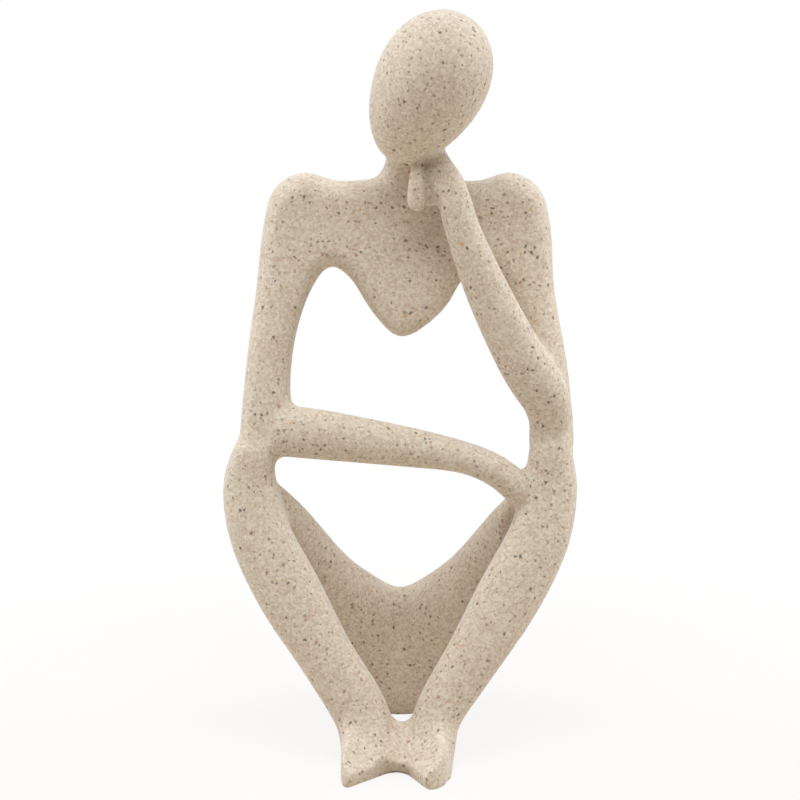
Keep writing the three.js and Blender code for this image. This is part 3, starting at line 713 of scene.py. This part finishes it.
class FIGURINE_OT_dowels(bpy.types.Operator):
    """Make the nine chamfered dowels, where the frame's dowels are"""

    bl_idname = "figurine.dowels"
    bl_label = "Dowels"

    def execute(self, context):
        form = context.scene.figurine_form
        steel = drawn_steel(context.scene.figurine_finish)
        points = bpy.data.meshes.new("dowel_places")
        points.from_pydata([middle_of(name) for name in DOWELS], [], [])
        along = points.attributes.new("along", "FLOAT_VECTOR", "POINT")
        along.data.foreach_set("vector", np.concatenate([dowel_axis(name) for name in DOWELS]))
        seed = bpy.data.objects.new("dowel_places", points)
        context.scene.collection.objects.link(seed)
        values = {
            "Diameter": form.dowel_diameter,
            "Length": form.dowel_length,
            "Chamfer": form.dowel_chamfer,
            "Material": steel,
        }
        mesh = grown(context, seed, dowel_tree(), values)
        mesh.set_sharp_from_angle(angle=SHARP_ANGLE)
        bpy.data.objects.remove(seed)
        pins = bpy.data.objects.new("dowel_pins", mesh)
        context.scene.collection.objects.link(pins)
        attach(pins, BODY)
        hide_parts(*DOWELS)
        return {"FINISHED"}


class FIGURINE_OT_stage(bpy.types.Operator):
    """Make the floor, the light from all round, four softboxes and the camera"""

    bl_idname = "figurine.stage"
    bl_label = "Stage"

    def execute(self, context):
        scene = context.scene
        stage = scene.figurine_stage
        self.make_floor(scene, stage)
        self.make_world(scene, stage)
        self.make_lamps(scene, stage)
        self.make_camera(scene, stage)
        scene.view_settings.view_transform = "Standard"
        return {"FINISHED"}

    def make_floor(self, scene, stage):
        material, tree = new_material("pale_paper")
        paper = add_node(tree, "ShaderNodeBsdfDiffuse", {"Color": opaque(stage.floor)})
        glow = add_node(tree, "ShaderNodeEmission", {"Color": (1, 1, 1, 1), "Strength": 1.0})
        place = add_node(tree, "ShaderNodeTexCoord").outputs["Object"]
        away = add_node(tree, "ShaderNodeVectorMath", {0: place}, operation="LENGTH")
        glow_there = add_node(
            tree,
            "ShaderNodeMapRange",
            {
                "Value": away.outputs["Value"],
                "From Min": 0.5 * stage.shadow_reach,
                "From Max": stage.shadow_reach,
                "To Min": stage.floor_glow,
                "To Max": 1.0,
            },
            interpolation_type="SMOOTHSTEP",
        )
        kept = add_node(
            tree, "ShaderNodeMath", {0: white_for_eye(tree), 1: glow_there.outputs[0]}, operation="MULTIPLY"
        )
        mix = add_node(
            tree, "ShaderNodeMixShader", {0: kept.outputs[0], 1: paper.outputs[0], 2: glow.outputs[0]}
        )
        add_node(tree, "ShaderNodeOutputMaterial", {"Surface": mix.outputs[0]})
        half = stage.floor_width / 2
        mesh = bpy.data.meshes.new("floor")
        corners = [(-half, -half, 0), (half, -half, 0), (half, half, 0), (-half, half, 0)]
        mesh.from_pydata(corners, [], [(0, 1, 2, 3)])
        mesh.materials.append(material)
        floor = bpy.data.objects.new("floor", mesh)
        scene.collection.objects.link(floor)

    def make_world(self, scene, stage):
        world = bpy.data.worlds.new("studio")
        world.use_nodes = True
        tree = world.node_tree
        tree.nodes.clear()
        room = add_node(
            tree, "ShaderNodeBackground", {"Color": opaque(stage.ambient_tint), "Strength": stage.ambient}
        )
        white = add_node(tree, "ShaderNodeBackground", {"Color": (1, 1, 1, 1), "Strength": 1.0})
        light = add_node(
            tree, "ShaderNodeMixShader", {0: white_for_eye(tree), 1: room.outputs[0], 2: white.outputs[0]}
        )
        add_node(tree, "ShaderNodeOutputWorld", {"Surface": light.outputs[0]})
        scene.world = world

    def make_lamps(self, scene, stage):
        middle = Vector(np.mean(figure_box(), axis=0))
        for name, (place, width, power) in SOFTBOXES.items():
            data = bpy.data.lights.new(name, "AREA")
            data.size = width
            data.energy = getattr(stage, power)
            data.color = stage.lamp_tint
            lamp = bpy.data.objects.new(name, data)
            lamp.location = place
            lamp.rotation_euler = (middle - Vector(place)).to_track_quat("-Z", "Y").to_euler()
            scene.collection.objects.link(lamp)

    def make_camera(self, scene, stage):
        data = bpy.data.cameras.new("camera")
        data.lens = stage.lens
        data.sensor_width = 36
        camera = bpy.data.objects.new("camera", data)
        camera.location = (0, -stage.camera_back, stage.camera_height)
        camera.rotation_euler = (math.pi / 2 - stage.camera_pitch, 0, 0)
        scene.collection.objects.link(camera)
        scene.camera = camera


class FIGURINE_PT_panel(bpy.types.Panel):
    """Lists the figurine's sizes and the steps that build it"""

    bl_idname = "FIGURINE_PT_panel"
    bl_label = "Resting Figurine"
    bl_space_type = "VIEW_3D"
    bl_region_type = "UI"
    bl_category = "Figurine"

    def draw(self, context):
        layout = self.layout
        for operator in OPERATORS:
            layout.operator(operator.bl_idname)
        for group, holder in GROUPS.items():
            settings = getattr(context.scene, holder)
            box = layout.box()
            for name in group.__annotations__:
                box.prop(settings, name)


GROUPS = {
    FigurineForm: "figurine_form",
    FigurineFinish: "figurine_finish",
    FigurineStage: "figurine_stage",
}
OPERATORS = (FIGURINE_OT_castings, FIGURINE_OT_dowels, FIGURINE_OT_stage)


def register():
    for cls in (*GROUPS, *OPERATORS, FIGURINE_PT_panel):
        bpy.utils.register_class(cls)
    for group, name in GROUPS.items():
        setattr(bpy.types.Scene, name, bpy.props.PointerProperty(type=group))


def unregister():
    for name in GROUPS.values():
        delattr(bpy.types.Scene, name)
    for cls in reversed((*GROUPS, *OPERATORS, FIGURINE_PT_panel)):
        bpy.utils.unregister_class(cls)


def main():
    register()
    bpy.ops.figurine.castings()
    bpy.ops.figurine.dowels()
    bpy.ops.figurine.stage()


if __name__ == "__main__":
    main()
